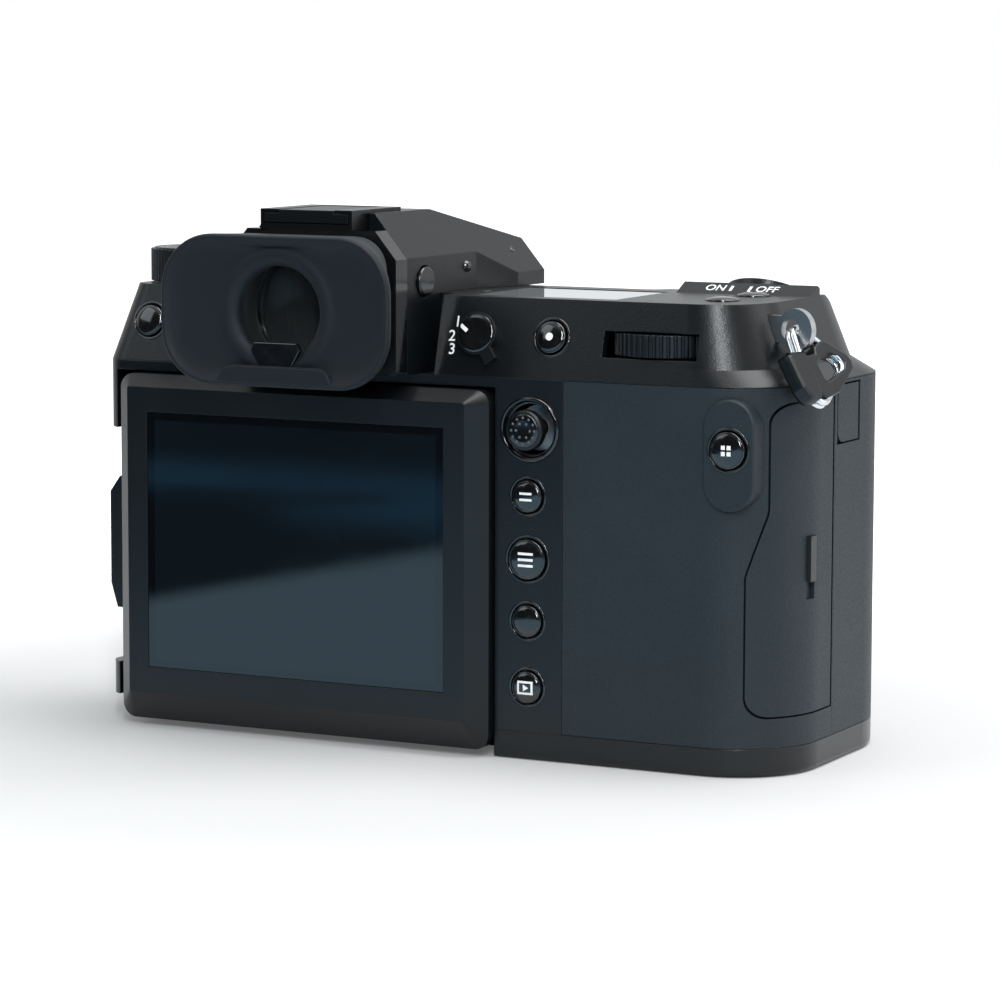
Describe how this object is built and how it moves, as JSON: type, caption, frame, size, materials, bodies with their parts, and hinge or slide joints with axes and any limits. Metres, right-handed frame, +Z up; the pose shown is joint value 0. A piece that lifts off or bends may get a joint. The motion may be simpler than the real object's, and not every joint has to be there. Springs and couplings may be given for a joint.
{
  "type": "medium format digital camera",
  "caption": "Mirrorless medium format digital camera body with a deep grip, a hinged rear display, a hump with eyepiece and eyecup, dials, buttons, a hot shoe and an open lens mount.",
  "frame": {"origin": "mouth of the tripod socket on the base, under the lens axis and in the sensor's plane", "axes": "+Z up, -Y the way the lens looks, +X towards the left hand side as held, so the grip is at -X"},
  "size_m": [0.162, 0.0865, 0.1049],
  "materials": {
    "black_paint": "fine satin black paint",
    "dark_rubber": "fine leathery rubber",
    "eyecup_rubber": "soft matte rubber",
    "matte_black": "fine matt moulding",
    "gloss_black": "gloss",
    "window": "polished",
    "display_glass": "polished cover glass, dark behind",
    "steel": "brushed",
    "bright_steel": "polished",
    "alloy": "satin",
    "gold": "polished",
    "board": "lacquered board",
    "battery_case": "fine moulding"
  },
  "bodies": {
    "camera_body": {"rear_shell": "black_paint", "front_shell": "black_paint", "thumb_rubber": "dark_rubber", "grip_rubber": "dark_rubber", "front_leather": "dark_rubber", "top_cover": "black_paint", "top_monitor": "window", "viewfinder_housing": "black_paint", "eyepiece_frame": "gloss_black", "eyepiece_lens": "window", "finder_display": "gloss_black", "eyecup": "eyecup_rubber", "hot_shoe": "steel", "lens_mount_ring": "bright_steel", "mount_screws": "steel", "mount_contacts": "gold", "shutter_frame": "matte_black", "main_board": "board", "port_block": "matte_black", "battery": "battery_case", "base_cover": "black_paint", "tripod_socket": "steel", "strap_lugs": "steel"},
    "ael_button": {"ael_button": "gloss_black"},
    "menu_button": {"menu_button": "gloss_black"},
    "back_button": {"back_button": "gloss_black"},
    "play_button": {"play_button": "gloss_black"},
    "quick_button": {"quick_button": "gloss_black"},
    "af_button": {"af_button": "gloss_black"},
    "drive_button": {"drive_button": "gloss_black"},
    "deck_button_rear": {"deck_button_rear": "gloss_black"},
    "deck_button_front": {"deck_button_front": "gloss_black"},
    "shutter_button": {"shutter_button": "matte_black"},
    "view_button": {"view_button": "gloss_black"},
    "lens_release_button": {"lens_release_button": "matte_black"},
    "joystick_yoke": {"joystick_yoke": "alloy"},
    "joystick": {"joystick": "matte_black"},
    "focus_lever": {"focus_lever": "matte_black"},
    "power_lever": {"power_lever": "black_paint"},
    "mode_dial": {"mode_dial": "black_paint"},
    "rear_dial": {"rear_dial": "matte_black"},
    "front_dial": {"front_dial": "matte_black"},
    "dioptre_dial": {"dioptre_dial": "matte_black"},
    "hot_shoe_cover": {"hot_shoe_cover": "matte_black"},
    "card_door": {"card_door": "dark_rubber"},
    "card_door_latch": {"card_door_latch": "matte_black"},
    "remote_cover": {"remote_cover": "dark_rubber"},
    "port_cover": {"port_cover": "dark_rubber"},
    "battery_door": {"battery_door": "matte_black"},
    "shutter_curtain": {"shutter_curtain": "matte_black"},
    "sensor_stage": {"sensor_stage": "alloy"},
    "image_sensor": {"image_sensor": "gloss_black"},
    "strap_ring_right": {"strap_ring_right": "bright_steel"},
    "strap_ring_left": {"strap_ring_left": "bright_steel"},
    "lcd_carrier": {"lcd_carrier": "alloy"},
    "lcd_frame": {"lcd_frame": "matte_black"},
    "lcd_latch": {"lcd_latch": "matte_black"},
    "lcd_arm": {"lcd_arm": "alloy"},
    "lcd_panel": {"lcd_panel": "matte_black", "lcd_glass": "display_glass"}
  },
  "joints": [
    {"name": "ael_button_press", "type": "slide", "parent": "camera_body", "child": "ael_button", "axis": [0, -1, 0], "range_m": [0, 0.0004], "stiffness_N_per_m": 1500},
    {"name": "menu_button_press", "type": "slide", "parent": "camera_body", "child": "menu_button", "axis": [0, -1, 0], "range_m": [0, 0.0004], "stiffness_N_per_m": 1500},
    {"name": "back_button_press", "type": "slide", "parent": "camera_body", "child": "back_button", "axis": [0, -1, 0], "range_m": [0, 0.0004], "stiffness_N_per_m": 1500},
    {"name": "play_button_press", "type": "slide", "parent": "camera_body", "child": "play_button", "axis": [0, -1, 0], "range_m": [0, 0.0004], "stiffness_N_per_m": 1500},
    {"name": "quick_button_press", "type": "slide", "parent": "camera_body", "child": "quick_button", "axis": [0, -1, 0], "range_m": [0, 0.0004], "stiffness_N_per_m": 1500},
    {"name": "af_button_press", "type": "slide", "parent": "camera_body", "child": "af_button", "axis": [0, -0.9682, -0.2501], "range_m": [0, 0.0004], "stiffness_N_per_m": 1500},
    {"name": "drive_button_press", "type": "slide", "parent": "camera_body", "child": "drive_button", "axis": [0, -0.9682, -0.2501], "range_m": [0, 0.0004], "stiffness_N_per_m": 1500},
    {"name": "deck_button_rear_press", "type": "slide", "parent": "camera_body", "child": "deck_button_rear", "axis": [0, 0, -1], "range_m": [0, 0.0003], "stiffness_N_per_m": 1500},
    {"name": "deck_button_front_press", "type": "slide", "parent": "camera_body", "child": "deck_button_front", "axis": [0, 0, -1], "range_m": [0, 0.0003], "stiffness_N_per_m": 1500},
    {"name": "shutter_button_press", "type": "slide", "parent": "camera_body", "child": "shutter_button", "axis": [0, 0.4058, -0.914], "range_m": [0, 0.001], "stiffness_N_per_m": 900},
    {"name": "view_button_press", "type": "slide", "parent": "camera_body", "child": "view_button", "axis": [0.9993, -0.0373, 0], "range_m": [0, 0.0004], "stiffness_N_per_m": 1500},
    {"name": "lens_release_press", "type": "slide", "parent": "camera_body", "child": "lens_release_button", "axis": [0, 1, 0], "range_m": [0, 0.0018], "stiffness_N_per_m": 900},
    {"name": "joystick_up_down", "type": "hinge", "parent": "camera_body", "child": "joystick_yoke", "pos_m": [-0.043, 0.0148, 0.0638], "axis": [1, 0, 0], "range_deg": [-8, 8], "stiffness_Nm_per_rad": 0.05},
    {"name": "joystick_left_right", "type": "hinge", "parent": "joystick_yoke", "child": "joystick", "pos_m": [-0.043, 0.0148, 0.0638], "axis": [0, 0, 1], "range_deg": [-8, 8], "stiffness_Nm_per_rad": 0.05},
    {"name": "focus_lever_turn", "type": "hinge", "parent": "camera_body", "child": "focus_lever", "pos_m": [-0.0312, 0.01816, 0.0813], "axis": [0, 0.9682, 0.2501], "range_deg": [-30, 30]},
    {"name": "power_lever_turn", "type": "hinge", "parent": "camera_body", "child": "power_lever", "pos_m": [-0.072, -0.0255, 0.08636], "axis": [0, 0.4058, -0.914], "range_deg": [0, 36]},
    {"name": "mode_dial_turn", "type": "hinge", "parent": "camera_body", "child": "mode_dial", "pos_m": [0.0395, 0.0039, 0.0915], "axis": [0, 0, 1], "continuous": true},
    {"name": "rear_dial_turn", "type": "hinge", "parent": "camera_body", "child": "rear_dial", "pos_m": [-0.0672, 0.00927, 0.0805], "axis": [0, 0, 1], "continuous": true},
    {"name": "front_dial_turn", "type": "hinge", "parent": "camera_body", "child": "front_dial", "pos_m": [-0.07, -0.03231, 0.0769], "axis": [0, 0, 1], "continuous": true},
    {"name": "dioptre_dial_turn", "type": "hinge", "parent": "camera_body", "child": "dioptre_dial", "pos_m": [0.01882, 0.018, 0.081], "axis": [0.9993, 0.0373, 0], "range_deg": [-150, 150]},
    {"name": "hot_shoe_cover_slide", "type": "slide", "parent": "camera_body", "child": "hot_shoe_cover", "axis": [0, 1, 0], "range_m": [0, 0.02]},
    {"name": "card_door_swing", "type": "hinge", "parent": "camera_body", "child": "card_door", "pos_m": [-0.09485, -0.0029, 0.0409], "axis": [0, 0, 1], "range_deg": [0, 95]},
    {"name": "card_door_latch_slide", "type": "slide", "parent": "card_door", "child": "card_door_latch", "axis": [0, 0, -1], "range_m": [0, 0.003], "stiffness_N_per_m": 150},
    {"name": "remote_cover_swing", "type": "hinge", "parent": "camera_body", "child": "remote_cover", "pos_m": [-0.09485, -0.01545, 0.067], "axis": [0, 0, 1], "range_deg": [0, 95]},
    {"name": "port_cover_swing", "type": "hinge", "parent": "camera_body", "child": "port_cover", "pos_m": [0.0518, -0.0024, 0.0375], "axis": [0, 0, -1], "range_deg": [0, 100]},
    {"name": "battery_door_swing", "type": "hinge", "parent": "camera_body", "child": "battery_door", "pos_m": [-0.0642, -0.0136, 0.0009], "axis": [0, -1, 0], "range_deg": [0, 90]},
    {"name": "shutter_curtain_rise", "type": "slide", "parent": "camera_body", "child": "shutter_curtain", "axis": [0, 0, 1], "range_m": [0, 0.036]},
    {"name": "sensor_shift_sideways", "type": "slide", "parent": "camera_body", "child": "sensor_stage", "axis": [1, 0, 0], "range_m": [-0.002, 0.002], "stiffness_N_per_m": 2500},
    {"name": "sensor_shift_up_down", "type": "slide", "parent": "sensor_stage", "child": "image_sensor", "axis": [0, 0, 1], "range_m": [-0.002, 0.002], "stiffness_N_per_m": 2500},
    {"name": "strap_ring_right_swing", "type": "hinge", "parent": "camera_body", "child": "strap_ring_right", "pos_m": [-0.092, 0.0089, 0.0839], "axis": [0.259, 0.9659, 0], "range_deg": [0, 60]},
    {"name": "strap_ring_left_swing", "type": "hinge", "parent": "camera_body", "child": "strap_ring_left", "pos_m": [0.0532, -0.009, 0.0839], "axis": [0, -1, 0], "range_deg": [0, 60]},
    {"name": "display_carrier_slide", "type": "slide", "parent": "camera_body", "child": "lcd_carrier", "axis": [1, 0, 0], "range_m": [0, 0.0181]},
    {"name": "display_side_hinge", "type": "hinge", "parent": "lcd_carrier", "child": "lcd_frame", "pos_m": [-0.0334, 0.0129, 0.032], "axis": [0, 0, 1], "range_deg": [0, 60]},
    {"name": "display_latch_slide", "type": "slide", "parent": "lcd_frame", "child": "lcd_latch", "axis": [0, 0, -1], "range_m": [0, 0.0024], "stiffness_N_per_m": 150},
    {"name": "display_low_hinge", "type": "hinge", "parent": "lcd_frame", "child": "lcd_arm", "pos_m": [0.0065, 0.0196, 0.0062], "axis": [-1, 0, 0], "range_deg": [0, 45]},
    {"name": "display_high_hinge", "type": "hinge", "parent": "lcd_arm", "child": "lcd_panel", "pos_m": [0.0065, 0.0206, 0.065], "axis": [1, 0, 0], "range_deg": [0, 90]}
  ],
  "couplings": [
    {"joint": "display_carrier_slide", "follows": "display_side_hinge", "m_per_rad": 0.017189}
  ]
}
